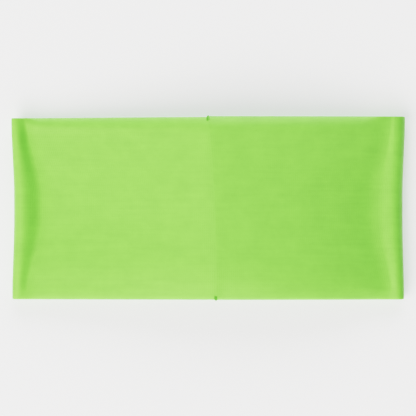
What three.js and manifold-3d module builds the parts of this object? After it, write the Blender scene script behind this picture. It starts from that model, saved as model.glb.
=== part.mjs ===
// A sweat wristband lying flat: a strip of satin-faced stretch knit lined with terry, both long edges
// turned in as hems, closed into a loop by one butted join that lies in the upper wall.
// Millimetres. X runs from fold to fold, Y along the arm, Z up. The origin is under the middle of the band.
import * as THREE from "three";
import { mergeVertices } from "three/addons/utils/BufferGeometryUtils.js";
import Module from "manifold-3d";

const wasm = await Module();
wasm.setup();

// Overall sizes
const flatWidth = 82; // fold to fold
const bandHeight = 38; // edge to edge along the arm
const mouthOpening = 5; // clear height between the walls under the join

// Plies
const shellThickness = 0.4;
const liningThickness = 1.1; // terry with its pile standing free
const liningPressed = 0.4; // terry pressed flat under a hem
const hemDepth = 4.5; // shell turned in over the lining's edge

// Threads
const threadDiameter = 0.2;
const hemStitchPitch = 2.4; // along the girth, one zig and one zag
const hemStitchWidth = 2.2; // across the hem
const hemStitchInset = 0.5; // from the hem's free edge to the stitch
const faceStitchPitch = 1.6; // along the join, in the face
const innerStitchPitch = 2; // along the join, on the inside
const innerStitchWidth = 2.6; // across the join
const tackWidth = 0.6; // along the edge of the band
const tackReach = 0.6; // from the edge over the face and over the hem
const tackThickness = 0.2;

// Clearances
const plyClearance = 0.1; // shell to lining, lining to hem
const threadClearance = 0.15; // thread to cloth
const liningJoinGap = 0.3; // between the lining's two butted ends
const stitchEndClearance = 1; // end of one row of stitches to the next row

// The join
const joinPlace = 0.8; // off the middle of the band
const joinSlant = THREE.MathUtils.degToRad(2.5); // off the line of the arm, leaning to -X at the +Y edge

// The folds, and the walls of the band from the join out to each fold
const foldInnerRadius = 0.35; // left open inside each fold
const left = {
  way: -1,
  valleyRun: 2.6, // from the fold's crest down to where the upper wall lies lowest
  valleyClearance: 0.1, // upper wall to lower wall at that place
  sag: 0, // how much more steeply the wall falls at the fold than at the join
};
const right = { way: 1, valleyRun: 5.4, valleyClearance: 0.1, sag: 0.5 };

// Facets
const foldSteps = 14;
const valleySteps = 6;
const sagSteps = 10;
const threadSides = 5;

// How far each ply reaches in from the outer face
const liningNear = shellThickness + plyClearance;
const pileStack = liningNear + liningThickness;
const hemNear = liningNear + liningPressed + plyClearance;
const hemStack = hemNear + shellThickness;
const threadStack = threadClearance + threadDiameter;
const wallDepth = Math.max(hemStack, pileStack) + threadStack;

// Heights of the upper wall's outer face
const foldRadius = wallDepth + foldInnerRadius;
const foldCentre = flatWidth / 2 - foldRadius;
const joinHeight = 2 * wallDepth + mouthOpening;
const halfHeight = bandHeight / 2;

// Outer face of the upper wall: a ridge at the join, lowest beside each fold, and up again onto the fold.
function upperHeight(x) {
  const side = x < joinPlace ? left : right;
  const wall = foldCentre - side.way * joinPlace - side.valleyRun;
  const along = Math.abs(x - joinPlace);
  const valleyHeight = 2 * wallDepth + side.valleyClearance;
  if (along < wall) {
    const fall = THREE.MathUtils.lerp(along / wall, (along / wall) ** 2, side.sag);
    return THREE.MathUtils.lerp(joinHeight, valleyHeight, fall);
  }
  const ontoFold = THREE.MathUtils.smoothstep(along - wall, 0, side.valleyRun);
  return THREE.MathUtils.lerp(valleyHeight, 2 * foldRadius, ontoFold);
}

// A place on the outer face of the upper wall, with the direction that faces out of the cloth there.
function upperStation(x) {
  const step = 1e-3;
  const slope = (upperHeight(x + step) - upperHeight(x - step)) / (2 * step);
  return {
    point: new THREE.Vector2(x, upperHeight(x)),
    out: new THREE.Vector2(-slope, 1).normalize(),
  };
}

// Places from just beside the join out to the fold and round it to the lower wall.
function halfLoop(side) {
  const stations = [];
  const valley = side.way * (foldCentre - side.valleyRun);
  const wallSteps = side.sag > 0 ? sagSteps : 1;
  for (let i = 1; i < wallSteps; i++) {
    stations.push(upperStation(THREE.MathUtils.lerp(joinPlace, valley, i / wallSteps)));
  }
  for (let i = 0; i < valleySteps; i++) {
    stations.push(upperStation(valley + (side.way * side.valleyRun * i) / valleySteps));
  }
  for (let i = 0; i <= foldSteps; i++) {
    const turn = (Math.PI * i) / foldSteps;
    const out = new THREE.Vector2(side.way * Math.sin(turn), Math.cos(turn));
    const centre = new THREE.Vector2(side.way * foldCentre, foldRadius);
    stations.push({ point: centre.addScaledVector(out, foldRadius), out });
  }
  return stations;
}

// The whole loop, from the join over the right fold, along the lower wall and back over the left fold.
const loop = [upperStation(joinPlace), ...halfLoop(right), ...halfLoop(left).reverse()];

// The loop's line at a depth in from the outer face.
function loopLine(depth) {
  return loop.map(({ point, out }) => point.clone().addScaledVector(out, -depth));
}

// Where the join lies at a place along the arm.
function joinAt(y) {
  return joinPlace - y * Math.tan(joinSlant);
}

function toSolid(geometry) {
  const bare = geometry.clone();
  bare.deleteAttribute("normal");
  bare.deleteAttribute("uv");
  const merged = mergeVertices(bare, 1e-4);
  const vertProperties = new Float32Array(merged.attributes.position.array);
  const triVerts = new Uint32Array(merged.index.array);
  return new wasm.Manifold(new wasm.Mesh({ numProp: 3, vertProperties, triVerts }));
}

function toGeometry(solid) {
  const { vertProperties, triVerts } = solid.getMesh();
  const geometry = new THREE.BufferGeometry();
  geometry.setAttribute("position", new THREE.BufferAttribute(vertProperties, 3));
  geometry.setIndex(new THREE.BufferAttribute(triVerts, 1));
  geometry.computeVertexNormals();
  return geometry;
}

// A closed loop of cloth, between two depths from the outer face and two places along the arm.
function ply(near, far, lowEdge, highEdge) {
  const outline = new THREE.Shape(loopLine(near));
  outline.holes.push(new THREE.Path(loopLine(far).reverse()));
  const depth = highEdge - lowEdge;
  const geometry = new THREE.ExtrudeGeometry(outline, { depth, bevelEnabled: false });
  return toSolid(geometry.rotateX(Math.PI / 2).translate(0, highEdge, 0));
}

function joined(solids) {
  return solids.reduce((sum, solid) => sum.add(solid));
}

// The slit between butted ends: a thin slab along the join, through the upper wall only.
function joinSlit(gap) {
  const reach = wallDepth + mouthOpening / 2;
  const slab = new THREE.BoxGeometry(gap, 2 * bandHeight, 2 * reach);
  return toSolid(slab.rotateZ(joinSlant).translate(joinPlace, 0, joinHeight));
}

// The outer cloth: its face, and at both edges the turn and the hem that lies on the lining.
function outerShell() {
  const turned = halfHeight - shellThickness;
  const hemEdge = halfHeight - hemDepth;
  const strip = joined([
    ply(0, shellThickness, -halfHeight, halfHeight),
    ply(0, hemStack, turned, halfHeight),
    ply(0, hemStack, -halfHeight, -turned),
    ply(hemNear, hemStack, hemEdge, halfHeight),
    ply(hemNear, hemStack, -halfHeight, -hemEdge),
  ]);
  return strip.subtract(joinSlit(threadDiameter + 2 * threadClearance));
}

// The lining: pressed flat where the hems hold it, with its pile standing between them.
function terryLining() {
  const edge = halfHeight - shellThickness - plyClearance;
  const pileEdge = halfHeight - hemDepth - plyClearance;
  const strip = joined([
    ply(liningNear, liningNear + liningPressed, -edge, edge),
    ply(liningNear, pileStack, -pileEdge, pileEdge),
  ]);
  return strip.subtract(joinSlit(liningJoinGap));
}

// A path that runs straight from each stitch point to the next.
class StitchPath extends THREE.Curve {
  constructor(points) {
    super();
    this.points = points;
  }

  getPoint(t, target = new THREE.Vector3()) {
    const place = t * (this.points.length - 1);
    const leg = Math.min(Math.floor(place), this.points.length - 2);
    return target.lerpVectors(this.points[leg], this.points[leg + 1], place - leg);
  }

  getPointAt(u, target) {
    return this.getPoint(u, target);
  }

  getTangentAt(u, target) {
    return this.getTangent(u, target);
  }
}

// Thread laid along a row of stitch points.
function thread(points) {
  const section = new THREE.Shape();
  section.absarc(0, 0, threadDiameter / 2, 0, 2 * Math.PI);
  const extrudePath = new StitchPath(points);
  const steps = points.length - 1;
  return new THREE.ExtrudeGeometry(section, { extrudePath, steps, curveSegments: threadSides });
}

// The zigzag round the loop that holds one hem down, on the hem's face inside the loop.
function hemThread(edge) {
  const line = loopLine(hemStack + threadClearance + threadDiameter / 2);
  const path = new THREE.CurvePath();
  line.forEach((point, i) => path.add(new THREE.LineCurve(point, line[(i + 1) % line.length])));
  const slantShift = halfHeight * Math.tan(joinSlant);
  const endRun = innerStitchWidth / 2 + slantShift + stitchEndClearance;
  const endShare = endRun / path.getLength();
  const legs = 2 * Math.round((path.getLength() - 2 * endRun) / hemStitchPitch);
  const free = halfHeight - hemDepth + hemStitchInset;
  const points = [];
  for (let i = 0; i <= legs; i++) {
    const place = path.getPointAt(THREE.MathUtils.lerp(endShare, 1 - endShare, i / legs));
    points.push(new THREE.Vector3(place.x, edge * (free + (i % 2) * hemStitchWidth), place.y));
  }
  return thread(points);
}

// A row of stitches along the join, swinging to both sides of it and between two depths.
function joinThread(pitch, width, highDepth, lowDepth) {
  const end = halfHeight - tackReach - stitchEndClearance;
  const legs = 2 * Math.round((2 * end) / pitch);
  const points = [];
  for (let i = 0; i <= legs; i++) {
    const y = THREE.MathUtils.lerp(-end, end, i / legs);
    const x = joinAt(y) + ((i % 2) - 0.5) * width;
    points.push(new THREE.Vector3(x, y, upperHeight(x) - (i % 2 ? lowDepth : highDepth)));
  }
  return thread(points);
}

// The ladder stitch in the slit, which draws the shell's two ends together.
function faceJoinThread() {
  const high = threadClearance + threadDiameter / 2;
  const low = Math.max(high, liningNear - threadClearance - threadDiameter / 2);
  return joinThread(faceStitchPitch, 0, high, low);
}

// The zigzag on the inside, which bridges the ends of the lining and of the hems.
function innerJoinThread() {
  const depth = wallDepth - threadDiameter / 2;
  return joinThread(innerStitchPitch, innerStitchWidth, depth, depth);
}

// The tack that locks the join at one edge: thread drawn round the edge, from the face to the hem.
function joinTack(edge) {
  const above = threadClearance + tackThickness;
  const under = -hemStack - above;
  const reach = -tackReach;
  const outline = new THREE.Shape();
  outline.moveTo(reach, above);
  outline.lineTo(reach, threadClearance);
  outline.lineTo(threadClearance, threadClearance);
  outline.lineTo(threadClearance, under + tackThickness);
  outline.lineTo(reach, under + tackThickness);
  outline.lineTo(reach, under);
  outline.lineTo(above, under);
  outline.lineTo(above, above);
  const geometry = new THREE.ExtrudeGeometry(outline, { depth: tackWidth, bevelEnabled: false });
  geometry.translate(0, 0, -tackWidth / 2).rotateX(Math.PI / 2).rotateZ((edge * Math.PI) / 2);
  return geometry;
}

function cloth(color, roughness) {
  return new THREE.MeshStandardMaterial({ color, roughness, metalness: 0 });
}

const satinKnit = cloth(0xa6e06e, 0.55);
const terry = cloth(0xa0d468, 0.95);
const sewingThread = cloth(0x8fd05a, 0.7);

const wristband = new THREE.Group();

function addPiece(name, geometry, material) {
  const piece = new THREE.Mesh(geometry, material);
  piece.name = name;
  wristband.add(piece);
  return piece;
}

addPiece("outer_shell", toGeometry(outerShell()), satinKnit);
addPiece("terry_lining", toGeometry(terryLining()), terry);
addPiece("face_join_thread", faceJoinThread(), sewingThread);
addPiece("inner_join_thread", innerJoinThread(), sewingThread);
for (const [name, edge] of [["top", 1], ["bottom", -1]]) {
  addPiece(`${name}_hem_thread`, hemThread(edge), sewingThread);
  const tack = addPiece(`${name}_join_tack`, joinTack(edge), sewingThread);
  const end = joinAt(edge * halfHeight);
  tack.position.set(end, edge * halfHeight, upperHeight(end));
}

export default wristband;
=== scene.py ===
import bisect
import math
from functools import lru_cache

import bmesh
import bpy
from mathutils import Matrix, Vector, noise


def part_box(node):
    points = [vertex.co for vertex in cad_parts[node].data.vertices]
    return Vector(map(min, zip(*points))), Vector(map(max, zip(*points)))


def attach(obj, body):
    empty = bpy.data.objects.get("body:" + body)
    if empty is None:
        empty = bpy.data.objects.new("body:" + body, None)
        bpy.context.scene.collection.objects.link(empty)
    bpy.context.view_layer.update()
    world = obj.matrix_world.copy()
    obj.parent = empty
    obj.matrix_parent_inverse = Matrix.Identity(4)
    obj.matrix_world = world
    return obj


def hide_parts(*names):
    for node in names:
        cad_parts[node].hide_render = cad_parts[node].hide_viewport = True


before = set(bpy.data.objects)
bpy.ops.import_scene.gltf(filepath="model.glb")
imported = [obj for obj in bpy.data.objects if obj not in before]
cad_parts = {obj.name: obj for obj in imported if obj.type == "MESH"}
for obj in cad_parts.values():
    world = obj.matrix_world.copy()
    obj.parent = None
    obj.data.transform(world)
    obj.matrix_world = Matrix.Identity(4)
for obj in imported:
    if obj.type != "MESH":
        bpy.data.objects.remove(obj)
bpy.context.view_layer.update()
mm = 0.001  # the sizes in the dictionaries below are millimetres

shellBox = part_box("outer_shell")
halfWide = shellBox[1].x / mm
halfHigh = shellBox[1].y / mm

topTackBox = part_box("top_join_tack")
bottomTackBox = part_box("bottom_join_tack")
joinTop = (topTackBox[0].x + topTackBox[1].x) / 2 / mm
joinBottom = (bottomTackBox[0].x + bottomTackBox[1].x) / 2 / mm

# the loop as it lies; three values are for the middle, the top edge and the bottom edge
loopShape = {
    "left": {
        "side": -1,
        "pulledIn": (0.4, -0.16, 0.02),  # fold's outer end, in from the band's full width
        "foldRound": (1.95, 1.0, 1.35),  # radius over the top of the fold
        "foldUnder": (2.4, 2.3, 2.3),  # how far in the fold meets the table
        "crest": (4.45, 4.2, 4.2),
        "lift": (0.0, 0.35, 0.3),  # fold off the table
        "run": (3.95, 2.15, 1.6),  # crest of the fold to the valley beside it
        "flare": (0.0, 0.0),  # more run at the very top and bottom edge
        "rise": (27.0, 36.0, 20.0),  # degrees, up from the valley to the crest
        "fade": (0.0, 0.5, 0.95),  # how much of the rise is lost at the very edge
        "wallSlope": 8.0,  # degrees, at the fold's end of the wall
        "joinSlope": 8.0,  # degrees, at the join
        "wallCurve": 1.0,  # above 1 the wall steepens late, near the fold
        "fall": 1.1,  # share of the edges' bending down
        "foldFall": 0.9,  # the same for the fold, at the bottom edge
        "bend": (2.6, 1.2, 1.4),  # wall's end to the bottom of the valley
        "edges": (-0.12, 0.08),  # cloth's top and bottom edge, out from the full height
        "foldOver": (5.5, 3.0),  # in from the band's end: where the fold's shape starts, and is full
    },
    "right": {
        "side": 1,
        "pulledIn": (0.26, -0.24, -0.04),
        "foldRound": (2.15, 2.15, 1.4),
        "foldUnder": (2.5, 2.5, 2.3),
        "crest": (4.35, 4.3, 4.2),
        "lift": (0.0, 0.35, 0.3),
        "run": (3.0, 0.9, 1.3),
        "flare": (0.0, 1.3),
        "rise": (12.0, 15.0, 13.0),
        "fade": (0.0, 0.2, 0.2),
        "wallSlope": 27.0,
        "joinSlope": 1.5,
        "wallCurve": 1.7,
        "fall": 1.5,
        "foldFall": 0.8,
        "bend": (2.8, 1.2, 1.8),
        "edges": (0.24, 0.13),
        "foldOver": (8.5, 4.5),
    },
    "joinHigh": 9.1,
    "joinBow": 0.55,  # join line's curve to the right
    "edgeFrom": 0.1,  # share of the half height where the middle's value starts to give way
    "flareFrom": 0.86,
    "fadeOver": (0.8, 0.97),
    "riseShares": ((0.38, 1.0), (0.62, 1.0), (0.82, 0.6), (1.0, 0.0)),  # of the run, of the rise
    "wallParts": 5,
    "squeeze": 0.8,  # the stack of cloth over a tight fold
    "liftReach": 7.0,  # a lifted fold comes down to the table over this length
    "topFall": (0.42, 2.0),  # upper cloth bending down at its top edge, and over what length
    "bottomFall": (1.0, 7.2),
    "foldHold": 0.92,  # share of the top edge's fall that the folds hold back
    "bottomHold": 4.0,  # this near the folds the bottom edge doesn't fall
    "fallBlend": 2.0,  # at each side of the join, between the two halves' falls
    "fullUpward": 0.7,  # cloth that faces up by this much has its falls and marks in full
}

shell = {
    "thickness": 0.4,
    "hemReach": 4.5,  # edge of the band to the hem's free edge
    "rollRadius": 0.7,
    "hemRelief": 0.04,  # hem showing through the face
    "hemReliefReach": 0.9,
    "rollCrease": 0.03,
    "rollCreaseWide": 0.22,
    "rollCreaseIn": 0.1,
    "squareAtFold": (0.82, 0.7),  # how much narrower the roll is there, at the top and the bottom
    "squareCurve": 8,
    "slideReach": 6.0,  # cloth follows the join's slant as far as this from it
    "wallSteps": 44,
    "wallSpacing": 1.4,  # above 1 the columns lie closer at the join
    "riseSteps": 16,
    "overSteps": 9,
    "underSteps": 11,
    "floorSteps": 50,
    "faceRows": 54,
    "faceSpacing": 0.4,  # 0 for even rows, 1 for rows much closer at the edges
    "rollRows": 10,
    "hemRows": 6,
}

faceMarks = {
    "ripple": 0.05,  # slow unevenness of the cloth
    "rippleLength": 9.0,
    "fineRipple": 0.35,  # share of a finer one
    "fineScale": 2.7,
    "pucker": 0.044,  # short waves beside the join
    "puckerPitch": 0.85,
    "puckerDrift": 0.3,
    "puckerReach": 1.6,
    "puckerOver": (2, 14),  # along the arm, none to full
    "joinDip": 0.012,
    "joinDipReach": 0.2,
    "ridgeDip": 0.05,  # the ridge at the join is rounded off
    "ridgeReach": 1.1,
}


def between(values, y):
    middle, top, bottom = values
    edge = top if y > 0 else bottom
    return middle + (edge - middle) * smooth(loopShape["edgeFrom"], 1.0, abs(y) / halfHigh)


def smooth(low, high, x):
    t = max(0.0, min(1.0, (x - low) / (high - low)))
    return t * t * (3 - 2 * t)


def slopeOf(degrees):
    return math.tan(math.radians(degrees))


def joinAt(y):
    straight = joinTop + (joinBottom - joinTop) * (halfHigh - y) / (2 * halfHigh)
    return straight + loopShape["joinBow"] * (1 - (y / halfHigh) ** 2)


# one fold and the wall beside it, at one place along the arm; x is counted outwards
class Half:
    def __init__(self, shape, y):
        edgeward = abs(y) / halfHigh
        self.side = shape["side"]
        self.round = between(shape["foldRound"], y)
        self.under = between(shape["foldUnder"], y)
        self.lift = between(shape["lift"], y)
        self.crestHigh = between(shape["crest"], y)
        if y < 0:
            self.crestHigh -= shape["foldFall"] * bendDown(y)
        self.outside = halfWide - between(shape["pulledIn"], y)
        self.crest = self.outside - self.round
        flare = shape["flare"][0 if y > 0 else 1] * smooth(loopShape["flareFrom"], 1.0, edgeward)
        self.valley = self.crest - between(shape["run"], y) - flare
        self.join = self.side * joinAt(y)
        rise = slopeOf(between(shape["rise"], y))
        rise *= 1 - between(shape["fade"], y) * smooth(*loopShape["fadeOver"], edgeward)
        beside = [(self.valley, 0.0)]
        for t, share in loopShape["riseShares"]:
            beside.append((self.valley + (self.crest - self.valley) * t, rise * share))
        first, last = slopeOf(shape["joinSlope"]), slopeOf(shape["wallSlope"])
        wallEnd = self.valley - between(shape["bend"], y)
        wall = []
        for i in range(loopShape["wallParts"] + 1):
            t = i / loopShape["wallParts"]
            slope = first + (last - first) * t ** shape["wallCurve"]
            wall.append((self.join + (wallEnd - self.join) * t, -slope))
        # the wall's slopes are scaled so that both halves meet at the same height
        self.slopes = wall + beside
        needed = loopShape["joinHigh"] - self.high(self.valley)
        fit = needed / (self.high(self.join) - self.high(self.valley))
        self.slopes = [(x, slope * fit) for x, slope in wall] + beside

    def high(self, x):
        fall = 0.0
        for (x0, s0), (x1, s1) in zip(self.slopes, self.slopes[1:]):
            if x < x1:
                a = max(x, x0)
                sa = s0 + (s1 - s0) * (a - x0) / (x1 - x0)
                fall += (sa + s1) / 2 * (x1 - a)
        return self.crestHigh - fall


wallSteps, riseSteps = shell["wallSteps"], shell["riseSteps"]
overSteps, underSteps, floorSteps = shell["overSteps"], shell["underSteps"], shell["floorSteps"]
halfColumns = wallSteps + riseSteps + overSteps + underSteps
columns = 2 * halfColumns + floorSteps


# points of the loop's outer line at one place along the arm, from the join round to the join again,
# each with how far the stack of cloth is squeezed there
@lru_cache(maxsize=None)
def loopLine(y):
    halves = [Half(loopShape["right"], y), Half(loopShape["left"], y)]
    lines = []
    for half in halves:
        line = []
        tight = min(1.0, loopShape["squeeze"] * half.round / (2 * shell["rollRadius"]))
        for i in range(wallSteps):
            x = half.join + (half.valley - half.join) * (i / wallSteps) ** shell["wallSpacing"]
            line.append((half.side * x, half.high(x), 1.0))
        for i in range(riseSteps):
            t = i / riseSteps
            x = half.valley + (half.crest - half.valley) * t
            line.append((half.side * x, half.high(x), 1 + (tight - 1) * t * t))
        for i in range(overSteps):
            turn = math.pi / 2 * i / overSteps
            x = half.crest + half.round * math.sin(turn)
            line.append((half.side * x, half.crestHigh - half.round * (1 - math.cos(turn)), tight))
        middle = half.crestHigh - half.round
        for i in range(underSteps + 1):
            turn = math.pi / 2 * i / underSteps
            x = half.outside - half.under * (1 - math.cos(turn))
            z = middle - (middle - half.lift) * math.sin(turn)
            line.append((half.side * x, z, tight + (1 - tight) * i / underSteps))
        lines.append(line)
    right, left = halves
    reach = loopShape["liftReach"]
    start, end = right.outside - right.under, left.outside - left.under
    floor = []
    for i in range(1, floorSteps):
        x = start - (start + end) * i / floorSteps
        lift = right.lift * smooth(start - reach, start, x) + left.lift * smooth(end - reach, end, -x)
        floor.append((x, lift, 1.0))
    return lines[0] + floor + lines[1][::-1]


@lru_cache(maxsize=None)
def loopNormals(y):
    points = [Vector((x, z)) for x, z, tight in loopLine(y)]
    steps = [b - a for a, b in zip(points, points[1:])]
    ends = (steps[0].normalized() + steps[-1].normalized()) / 2
    alongs = [ends]
    for a, b in zip(steps, steps[1:]):
        alongs.append(a.normalized() * b.length + b.normalized() * a.length)
    alongs.append(ends)
    return [(-d.y / d.length, d.x / d.length) for d in alongs]


# small unevenness of the outer face, outwards
def unevenness(x, y):
    place = Vector((x, y, 0)) / faceMarks["rippleLength"]
    fine = noise.noise(place * faceMarks["fineScale"] + Vector((7, 3, 1)))
    swell = noise.noise(place) + faceMarks["fineRipple"] * fine
    away = abs(x - joinAt(y))
    pull = math.exp(-away / faceMarks["puckerReach"]) * smooth(*faceMarks["puckerOver"], y)
    wave = noise.noise(Vector((faceMarks["puckerDrift"] * x, y / faceMarks["puckerPitch"], 5)))
    dip = faceMarks["joinDip"] * math.exp(-((away / faceMarks["joinDipReach"]) ** 2))
    dip += faceMarks["ridgeDip"] * math.exp(-away / faceMarks["ridgeReach"])
    return faceMarks["ripple"] * swell + faceMarks["pucker"] * wave * pull - dip


# the upper cloth bends down a little at its two edges, less at the folds
def edgeFall(x, y):
    left, right = loopShape["left"]["fall"], loopShape["right"]["fall"]
    blend = loopShape["fallBlend"]
    share = left + (right - left) * smooth(-blend, blend, x - joinAt(y))
    if y > 0:
        return share * (1 - loopShape["foldHold"] * atFold(x)) * bendDown(y)
    return share * (1 - min(1.0, abs(x) / (halfWide - loopShape["bottomHold"]))) * bendDown(y)


# how far the cloth bends down towards an edge
def bendDown(y):
    fall, reach = loopShape["topFall"] if y > 0 else loopShape["bottomFall"]
    start = halfHigh - shell["rollRadius"] - reach
    return fall * max(0.0, (abs(y) - start) / reach) ** 2


# 0 on the walls, 1 at the folds
def atFold(x):
    share = 0.0
    for half in (loopShape["left"], loopShape["right"]):
        start, full = half["foldOver"]
        share += smooth(halfWide - start, halfWide - full, half["side"] * x)
    return share


# the roll at the edge is squarer at the folds, so that its round part is narrower there
def squared(x, y):
    roll = shell["rollRadius"]
    turn = halfHigh - roll
    narrow = roll * (1 - shell["squareAtFold"][0 if y > 0 else 1] * atFold(x))
    if abs(y) > turn:
        out = halfHigh - (halfHigh - abs(y)) * narrow / roll
    else:
        out = abs(y) + (roll - narrow) * (abs(y) / turn) ** shell["squareCurve"]
    return math.copysign(out, y)


# a point of the band: column round the girth, place along the arm, depth in from the outer face
def bandPoint(column, y, depth, digits=3):
    y0 = max(-halfHigh, min(halfHigh, round(y, digits)))
    low = min(columns - 1, int(column))
    part = column - low
    line, normals = loopLine(y0), loopNormals(y0)
    (x0, z0, q0), (x1, z1, q1) = line[low], line[low + 1]
    (a0, b0), (a1, b1) = normals[low], normals[low + 1]
    x, z = x0 + (x1 - x0) * part, z0 + (z1 - z0) * part
    nx, nz = a0 + (a1 - a0) * part, b0 + (b1 - b0) * part
    size = math.hypot(nx, nz)
    nx, nz = nx / size, nz / size
    upward = smooth(0.0, loopShape["fullUpward"], nz)
    z += (unevenness(x, y) - edgeFall(x, y)) * upward + shell["hemRelief"]
    out = -depth * (q0 + (q1 - q0) * part)
    along = squared(x, y) + edgeShift(x, y, low) * (y / halfHigh) ** 2
    if low < halfColumns or low >= columns - halfColumns:
        nearEnd = max(0.0, 1 - abs(x - joinAt(y0)) / shell["slideReach"])
        x += (joinAt(along) - joinAt(y0)) * nearEnd
    return Vector((x + nx * out, along, z + nz * out)) * mm


# the strip's two ends meet a little out of line with each other
def edgeShift(x, y, low):
    end = 0 if y > 0 else 1
    left, right = loopShape["left"]["edges"][end], loopShape["right"]["edges"][end]
    sign = 1 if y > 0 else -1
    if low < halfColumns:
        return sign * right
    if low >= columns - halfColumns:
        middle = (left + right) / 2
        return sign * (middle + (left - middle) * smooth(0, halfWide, -x))
    return sign * (left + (right - left) * smooth(-halfWide, halfWide, x))


# rows across the shell, each with its place along the arm and its depth: from one hem's free edge,
# over the face, to the free edge of the other
def shellRows():
    roll = shell["rollRadius"]
    turn = halfHigh - roll
    free = halfHigh - shell["hemReach"]
    rows = []
    for i in range(shell["hemRows"]):
        rows.append((free + (turn - free) * i / shell["hemRows"], 2 * roll))
    for i in range(shell["rollRows"]):
        angle = math.pi * (1 - i / shell["rollRows"])
        rows.append((turn + roll * math.sin(angle), roll * (1 - math.cos(angle))))
    close = shell["faceSpacing"]
    for i in range(shell["faceRows"] // 2 + 1):
        t = 1 - 2 * i / shell["faceRows"]
        y = turn * ((1 - close) * t + close * math.sin(t * math.pi / 2))
        rows.append((y, 0.0))
    upper = [(y, depth - faceRelief(y, depth)) for y, depth in rows]
    return upper + [(-y, depth) for y, depth in upper[-2::-1]]


# how far the face stands proud over the hem
def faceRelief(y, depth):
    roll = shell["rollRadius"]
    free = halfHigh - shell["hemReach"]
    crease = halfHigh - roll - shell["rollCreaseIn"]
    reach = shell["hemReliefReach"]
    relief = shell["hemRelief"] * smooth(free - reach, free + reach, y)
    relief -= shell["rollCrease"] * math.exp(-(((y - crease) / shell["rollCreaseWide"]) ** 2))
    return relief * (1 - smooth(0, roll, depth))


# distance round the girth, and the column that lies at a distance
girthAt = [0.0]
for (x0, z0, q0), (x1, z1, q1) in zip(loopLine(0.0), loopLine(0.0)[1:]):
    girthAt.append(girthAt[-1] + math.hypot(x1 - x0, z1 - z0))
girth = girthAt[-1]


def columnAt(distance):
    distance = max(0.0, min(girth - 1e-6, distance))
    low = bisect.bisect_right(girthAt, distance) - 1
    return low + (distance - girthAt[low]) / (girthAt[low + 1] - girthAt[low])


# a point by its distance from the join: to the right of it, or to the left where it is negative
def nearJoin(across, y, depth):
    return bandPoint(columnAt(across if across >= 0 else girth + across), y, depth, 1)


# a grid wrapped round the band, with its own UV in metres: girth, and distance across the strip
def wrappedSheet(name, columnPlaces, rows):
    bm = bmesh.new()
    bmesh.ops.create_grid(bm, x_segments=len(columnPlaces) - 1, y_segments=len(rows) - 1, size=0.5)
    around = [0.0]
    for a, b in zip(columnPlaces, columnPlaces[1:]):
        around.append(around[-1] + (bandPoint(b, 0, 0) - bandPoint(a, 0, 0)).length)
    across = [0.0]
    for (y0, d0), (y1, d1) in zip(rows, rows[1:]):
        across.append(across[-1] + math.hypot(y1 - y0, d1 - d0) * mm)
    uv = bm.loops.layers.uv.new("strip")
    place = {}
    for v in bm.verts:
        column = round((v.co.x + 0.5) * (len(columnPlaces) - 1))
        row = round((v.co.y + 0.5) * (len(rows) - 1))
        place[v] = (around[column], across[row])
        y, depth = rows[row]
        v.co = bandPoint(columnPlaces[column], y, depth)
    smoothFaces(bm, uv, place)
    bmesh.ops.reverse_faces(bm, faces=bm.faces)
    for edge in bm.edges:
        edge.smooth = not edge.is_boundary  # the cut ends keep their own shading
    return finished(name, bm)


def smoothFaces(bm, uv, place):
    for face in bm.faces:
        face.smooth = True
        for loop in face.loops:
            loop[uv].uv = place[loop.vert]


def finished(name, bm):
    mesh = bpy.data.meshes.new(name)
    bm.to_mesh(mesh)
    bm.free()
    piece = bpy.data.objects.new(name, mesh)
    bpy.context.scene.collection.objects.link(piece)
    return piece


def thicken(piece, thickness):
    solid = piece.modifiers.new("thickness", "SOLIDIFY")
    solid.thickness = thickness * mm
    solid.offset = -1
    solid.use_even_offset = False


# cloth and thread finishes; the plain ones share the tints of the knit
knit = {
    "color": (0.19, 0.558, 0.084, 1),
    "shade": (0.166, 0.47, 0.075, 1),
    "streaks": (90, 1000, 1),  # per metre: along the girth and across the strip
    "streakNoise": (1, 3, 0.6),  # scale, detail, roughness
    "streakShare": 0.6,
    "blotchNoise": (260, 4, 0.65),
    "shadeOver": (0.54, 1.06),  # streaks and blotches together, from none of the shade to all of it
    "roughness": 0.5,
    "sheen": 0.12,
    "sheenRoughness": 0.4,
    "sheenTint": (0.75, 1.0, 0.55, 1),
    "specularTint": (0.6, 1.0, 0.35, 1),
    "courses": 0.34,  # pitch of the knit's rows along the arm
    "wales": 0.4,
    "stitchLean": 0.8,
    "bump": 0.05,
    "bumpStrength": 0.45,
}

terryLook = {"color": (0.165, 0.48, 0.074, 1), "roughness": 0.9, "sheen": 0.25}
threadLook = {"color": (0.1, 0.33, 0.045, 1), "roughness": 0.7, "sheen": 0.0}


def clothMaterial(name, finish):
    made = bpy.data.materials.new(name)
    made.use_nodes = True
    shader = made.node_tree.nodes["Principled BSDF"]
    shader.inputs["Roughness"].default_value = finish["roughness"]
    shader.inputs["Sheen Weight"].default_value = finish["sheen"]
    shader.inputs["Sheen Tint"].default_value = knit["sheenTint"]
    shader.inputs["Specular Tint"].default_value = knit["specularTint"]
    return made, shader


def noiseNode(nodes, scale, detail, roughness):
    made = nodes.new("ShaderNodeTexNoise")
    made.inputs["Scale"].default_value = scale
    made.inputs["Detail"].default_value = detail
    made.inputs["Roughness"].default_value = roughness
    return made


# a math node whose second number is fixed
def mathNode(nodes, operation, second):
    made = nodes.new("ShaderNodeMath")
    made.operation = operation
    made.inputs[1].default_value = second
    return made


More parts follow.
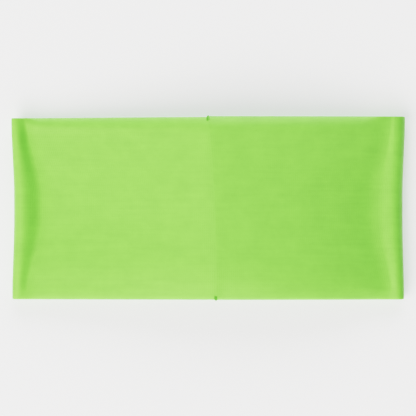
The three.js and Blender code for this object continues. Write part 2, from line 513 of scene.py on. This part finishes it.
def knitMaterial():
    made, shader = clothMaterial("satin knit", knit)
    shader.inputs["Sheen Roughness"].default_value = knit["sheenRoughness"]
    nodes, links = made.node_tree.nodes, made.node_tree.links
    uv = nodes.new("ShaderNodeUVMap")
    uv.uv_map = "strip"
    # fine streaks round the girth, and soft blotches
    stretch = nodes.new("ShaderNodeMapping")
    stretch.inputs["Scale"].default_value = knit["streaks"]
    links.new(uv.outputs["UV"], stretch.inputs["Vector"])
    streak = noiseNode(nodes, *knit["streakNoise"])
    links.new(stretch.outputs["Vector"], streak.inputs["Vector"])
    blotch = noiseNode(nodes, *knit["blotchNoise"])
    links.new(uv.outputs["UV"], blotch.inputs["Vector"])
    tone = mathNode(nodes, "MULTIPLY_ADD", knit["streakShare"])
    links.new(streak.outputs["Fac"], tone.inputs[0])
    links.new(blotch.outputs["Fac"], tone.inputs[2])
    spread = nodes.new("ShaderNodeMapRange")
    spread.inputs["From Min"].default_value = knit["shadeOver"][0]
    spread.inputs["From Max"].default_value = knit["shadeOver"][1]
    links.new(tone.outputs["Value"], spread.inputs["Value"])
    mix = nodes.new("ShaderNodeMix")
    mix.data_type = "RGBA"
    mix.inputs["A"].default_value = knit["color"]
    mix.inputs["B"].default_value = knit["shade"]
    links.new(spread.outputs["Result"], mix.inputs["Factor"])
    links.new(mix.outputs["Result"], shader.inputs["Base Color"])
    # each stitch is a small V: the rows bend by the wale they are in
    scale = nodes.new("ShaderNodeMapping")
    scale.inputs["Scale"].default_value = (1 / (knit["wales"] * mm), 1 / (knit["courses"] * mm), 1)
    links.new(uv.outputs["UV"], scale.inputs["Vector"])
    parts = nodes.new("ShaderNodeSeparateXYZ")
    links.new(scale.outputs["Vector"], parts.inputs["Vector"])
    wale = mathNode(nodes, "PINGPONG", 0.5)
    links.new(parts.outputs["X"], wale.inputs[0])
    bent = mathNode(nodes, "MULTIPLY_ADD", knit["stitchLean"])
    links.new(wale.outputs["Value"], bent.inputs[0])
    links.new(parts.outputs["Y"], bent.inputs[2])
    row = mathNode(nodes, "PINGPONG", 0.5)
    links.new(bent.outputs["Value"], row.inputs[0])
    both = mathNode(nodes, "MULTIPLY_ADD", knit["stitchLean"])
    links.new(wale.outputs["Value"], both.inputs[0])
    links.new(row.outputs["Value"], both.inputs[2])
    bump = nodes.new("ShaderNodeBump")
    bump.inputs["Strength"].default_value = knit["bumpStrength"]
    bump.inputs["Distance"].default_value = knit["bump"] * mm
    links.new(both.outputs["Value"], bump.inputs["Height"])
    links.new(bump.outputs["Normal"], shader.inputs["Normal"])
    return made


def plainMaterial(name, finish):
    made, shader = clothMaterial(name, finish)
    shader.inputs["Base Color"].default_value = finish["color"]
    return made


satinKnit = knitMaterial()
terryCloth = plainMaterial("terry cloth", terryLook)
threadFinish = plainMaterial("sewing thread", threadLook)
print("materials made")

# outer shell
shellSheet = wrappedSheet("shell_knit_strip", list(range(columns + 1)), shellRows())
thicken(shellSheet, shell["thickness"])
shellSheet.data.materials.append(satinKnit)
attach(shellSheet, "root")
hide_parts("outer_shell")
print("shell made, girth", round(girth, 1))

# terry lining
lining = {
    "depth": 0.5,  # in from the shell's outer face
    "thickness": 0.4,  # the cloth without its loops
    "edgeInset": 0.9,  # in from the band's two edges
    "joinGap": 0.3,
    "rows": 40,
}

liningWide = 2 * halfHigh - 2 * lining["edgeInset"]
liningRows = []
for i in range(lining["rows"], -1, -1):
    y = -halfHigh + lining["edgeInset"] + liningWide * i / lining["rows"]
    liningRows.append((y, lining["depth"]))
liningSheet = wrappedSheet("terry_base", list(range(columns + 1)), liningRows)
thicken(liningSheet, lining["thickness"])
liningSheet.data.materials.append(terryCloth)
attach(liningSheet, "root")
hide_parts("terry_lining")

# terry pile, the loops that stand on the lining
pile = {
    "across": 1.08,  # loops apart round the girth
    "along": 0.96,  # loops apart along the arm
    "reach": 14.3,  # rows stop at the hems
    "high": 0.68,
    "wide": 0.52,
    "yarn": 0.11,
    "bends": 6,  # straight parts of one loop
    "sides": 3,
    "sunk": 0.1,
    "scatter": 0.22,
    "lean": 0.3,
    "spin": 2.6,  # radians between the two extremes
    "uneven": 0.25,
}


# a tube along points, as a grid rolled up; its UV is the distance along and round it
def tube(name, points, radius, sides):
    bm = bmesh.new()
    bmesh.ops.create_grid(bm, x_segments=len(points) - 1, y_segments=sides, size=0.5)
    uv = bm.loops.layers.uv.new("strip")
    distance = [0.0]
    for a, b in zip(points, points[1:]):
        distance.append(distance[-1] + (b - a).length)
    place = {}
    last = len(points) - 1
    for v in bm.verts:
        i = round((v.co.x + 0.5) * last)
        turn = 2 * math.pi * (v.co.y + 0.5)
        along = (points[min(last, i + 1)] - points[max(0, i - 1)]).normalized()
        side = along.cross(Vector((0, 0, 1)) if abs(along.z) < 0.9 else Vector((1, 0, 0))).normalized()
        up = side.cross(along)
        place[v] = (distance[i], (v.co.y + 0.5) * 2 * math.pi * radius)
        v.co = points[i] + (side * math.cos(turn) + up * math.sin(turn)) * radius
    smoothFaces(bm, uv, place)
    bmesh.ops.remove_doubles(bm, verts=bm.verts, dist=radius * 0.01)
    ends = [e for e in bm.edges if e.is_boundary]
    bmesh.ops.holes_fill(bm, edges=ends, sides=0)
    bmesh.ops.recalc_face_normals(bm, faces=bm.faces)
    return finished(name, bm)


def terryPile():
    points = []
    for i in range(pile["bends"] + 1):
        turn = math.pi * i / pile["bends"]
        points.append(Vector((0.0, -pile["wide"] / 2 * math.cos(turn), pile["high"] * math.sin(turn))))
    piece = tube("terry_pile", points, pile["yarn"], pile["sides"])
    acrossCount = int((girth - 2 * lining["joinGap"]) / pile["across"])
    alongCount = int(2 * pile["reach"] / pile["along"])
    for count, step in ((acrossCount, (pile["across"], 0, 0)), (alongCount, (0, pile["along"], 0))):
        repeat = piece.modifiers.new("rows", "ARRAY")
        repeat.count = count
        repeat.use_relative_offset = False
        repeat.use_constant_offset = True
        repeat.constant_offset_displace = step
    bpy.context.view_layer.update()
    full = bpy.data.meshes.new_from_object(piece.evaluated_get(bpy.context.evaluated_depsgraph_get()))
    piece.modifiers.clear()
    piece.data = full
    bm = bmesh.new()
    bm.from_mesh(full)
    deep = lining["depth"] + lining["thickness"] - pile["sunk"]
    for v in bm.verts:
        column, row = round(v.co.x / pile["across"]), round(v.co.y / pile["along"])
        random = noise.cell_vector(Vector((column + 0.5, row + 0.5, 3.5)))
        away = v.co.x - column * pile["across"], v.co.y - row * pile["along"]
        spin = (random.z - 0.5) * pile["spin"]
        astray = pile["scatter"] * 2 + pile["lean"] * 2 * v.co.z
        dx = away[0] * math.cos(spin) - away[1] * math.sin(spin) + (random.x - 0.5) * astray
        dy = away[0] * math.sin(spin) + away[1] * math.cos(spin) + (random.y - 0.5) * astray
        g = lining["joinGap"] + (column + 0.5 + 0.5 * (row % 2)) * pile["across"] + dx
        y = (row + 0.5) * pile["along"] - alongCount / 2 * pile["along"] + dy
        stands = v.co.z * (1.0 + pile["uneven"] * (random.x - 0.5))
        v.co = bandPoint(columnAt(g), y, deep + stands, 1)
    bmesh.ops.recalc_face_normals(bm, faces=bm.faces)
    bm.to_mesh(full)
    bm.free()
    return piece


pileLoops = terryPile()
pileLoops.data.materials.append(terryCloth)
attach(pileLoops, "root")
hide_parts("terry_lining")
print("lining and pile made")

# sewing threads; a dip is how deep a stitch goes into the cloth at its two ends
threads = {
    "radius": 0.1,
    "sides": 6,
    "dipCurve": 5,
    "hemStart": 1.0,  # girth left free at each side of the join
    "hemLeg": 1.2,  # girth taken by one leg of the hem's zigzag
    "hemSteps": 8,
    "hemDepth": 1.47,
    "hemDip": 0.3,
    "joinLeg": 1.0,
    "joinSteps": 10,
    "joinReach": 1.3,
    "joinDepth": 1.5,
    "joinDip": 0.5,
    "faceLeg": 0.8,
    "faceReach": 0.34,
    "faceSlant": 0.1,
    "faceDepth": 0.19,
    "faceDip": 0.2,
    "faceHidden": 0.42,  # depth of the run between two bars
    "barSteps": 5,
    "hiddenSteps": 4,
    "wraps": (-0.19, 0.0, 0.19),
    "wrapSteps": 16,
    "wrapTurn": (-0.12, 1.24),  # half turns: where a wrap starts, and how long it is
    "wrapProud": 0.06,
    "wrapDip": 0.16,
    "wrapSlant": 0.1,
}


def sewn(name, node, points):
    piece = tube(name, points, threads["radius"] * mm, threads["sides"])
    piece.data.materials.append(threadFinish)
    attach(piece, "root")
    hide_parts(node)


# each leg of a stitch lies on the cloth and dips into it at both ends
def dip(t, deep):
    return deep * abs(2 * t - 1) ** threads["dipCurve"]


def hemZigzag(node, name):
    low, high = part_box(node)
    inner, outer = low.y / mm + threads["radius"], high.y / mm - threads["radius"]
    start = threads["hemStart"]
    points = []
    for leg in range(int((girth - 2 * start) / threads["hemLeg"])):
        for i in range(threads["hemSteps"]):
            t = i / threads["hemSteps"]
            y = inner + (outer - inner) * (t if leg % 2 == 0 else 1 - t)
            g = start + (leg + t) * threads["hemLeg"]
            points.append(bandPoint(columnAt(g), y, threads["hemDepth"] - dip(t, threads["hemDip"]), 1))
    sewn(name, node, points)


def joinZigzag():
    low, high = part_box("inner_join_thread")
    points = []
    for leg in range(int((high.y - low.y) / mm / threads["joinLeg"])):
        for i in range(threads["joinSteps"]):
            t = i / threads["joinSteps"]
            across = threads["joinReach"] * (2 * t - 1) * (1 if leg % 2 == 0 else -1)
            y = low.y / mm + (leg + t) * threads["joinLeg"]
            points.append(nearJoin(across, y, threads["joinDepth"] - dip(t, threads["joinDip"])))
    sewn("join_zigzag", "inner_join_thread", points)


# the ladder stitch that closes the face: a bar across the join, then a run hidden in the fold
def faceLadder():
    low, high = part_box("face_join_thread")
    leg, slant = threads["faceLeg"], threads["faceSlant"]
    points = []
    for step in range(int((high.y - low.y) / mm / leg)):
        y = low.y / mm + step * leg
        reach = threads["faceReach"] * (1 if step % 2 == 0 else -1)
        for i in range(threads["barSteps"] + 1):
            t = i / threads["barSteps"]
            depth = threads["faceDepth"] + dip(t, threads["faceDip"])
            points.append(nearJoin(reach * (1 - 2 * t), y + slant * t, depth))
        for i in range(1, threads["hiddenSteps"]):
            on = slant + (leg - slant) * i / threads["hiddenSteps"]
            points.append(nearJoin(-reach, y + on, threads["faceHidden"]))
    sewn("face_ladder", "face_join_thread", points)


# a few turns of thread over the edge at the end of the join
def tackWraps(node, name, sign):
    roll = shell["rollRadius"]
    first, long = threads["wrapTurn"]
    points = []
    for number, across in enumerate(threads["wraps"]):
        steps = [i / threads["wrapSteps"] for i in range(threads["wrapSteps"] + 1)]
        for t in steps if number % 2 == 0 else steps[::-1]:
            angle = math.pi * (first + long * t)
            reach = roll + threads["wrapProud"] - dip(t, threads["wrapDip"])
            y = halfHigh - roll + reach * math.sin(angle)
            slant = across + threads["wrapSlant"] * (t - 0.5)
            points.append(nearJoin(slant, sign * y, roll - reach * math.cos(angle)))
    sewn(name, node, points)


hemZigzag("top_hem_thread", "top_hem_zigzag")
hemZigzag("bottom_hem_thread", "bottom_hem_zigzag")
joinZigzag()
faceLadder()
tackWraps("top_join_tack", "top_tack", 1)
tackWraps("bottom_join_tack", "bottom_tack", -1)
print("threads made")

# floor, light and camera; these sizes are metres
studio = {
    "floor": (0.8, 0.8, 0.8, 1),
    "floorRoughness": 0.8,
    "floorGlow": 0.35,  # a lit table, so that shadows stay pale
    "floorReach": 3,
    "cameraHigh": 1.2,  # above the band's middle height
    "bandMiddle": 0.0045,
    "seenWide": 0.08695,
    "cameraUp": 0.00006,
    "world": 0.08,
    "lightsAway": 1.5,
    # name: (azimuth from +X, elevation, size, power, colour)
    "lights": {
        "key": (222, 42, 1.5, 33.0, (1.055, 1.0, 0.97)),
        "behind": (90, 20, 1.6, 35.0, (0.97, 1.0, 1.02)),
        "front": (270, 18, 1.6, 20.5, (0.97, 1.0, 1.02)),
    },
}

floorMesh = bmesh.new()
bmesh.ops.create_grid(floorMesh, x_segments=1, y_segments=1, size=studio["floorReach"])
floor = finished("floor", floorMesh)
floorFinish = bpy.data.materials.new("pale floor")
floorFinish.use_nodes = True
shader = floorFinish.node_tree.nodes["Principled BSDF"]
shader.inputs["Base Color"].default_value = studio["floor"]
shader.inputs["Roughness"].default_value = studio["floorRoughness"]
shader.inputs["Emission Color"].default_value = (1, 1, 1, 1)
shader.inputs["Emission Strength"].default_value = studio["floorGlow"]
floor.data.materials.append(floorFinish)

world = bpy.data.worlds.new("studio")
world.use_nodes = True
world.node_tree.nodes["Background"].inputs["Color"].default_value = (1, 1, 1, 1)
world.node_tree.nodes["Background"].inputs["Strength"].default_value = studio["world"]
bpy.context.scene.world = world

for name, (azimuth, elevation, size, power, color) in studio["lights"].items():
    lamp = bpy.data.lights.new(name, "AREA")
    lamp.shape = "DISK"
    lamp.size = size
    lamp.energy = power
    lamp.color = color
    holder = bpy.data.objects.new(name, lamp)
    a, e = math.radians(azimuth), math.radians(elevation)
    direction = Vector((math.cos(a) * math.cos(e), math.sin(a) * math.cos(e), math.sin(e)))
    holder.location = direction * studio["lightsAway"]
    holder.rotation_euler = direction.to_track_quat("Z", "Y").to_euler()
    bpy.context.scene.collection.objects.link(holder)

camera = bpy.data.cameras.new("camera")
camera.lens = camera.sensor_width * studio["cameraHigh"] / studio["seenWide"]
camera.clip_end = 10
eye = bpy.data.objects.new("camera", camera)
eye.location = (0, studio["cameraUp"], studio["cameraHigh"] + studio["bandMiddle"])
bpy.context.scene.collection.objects.link(eye)
bpy.context.scene.camera = eye
bpy.context.scene.view_settings.view_transform = "Filmic"
bpy.context.scene.view_settings.look = "Very High Contrast"
print("floor, lights and camera made")
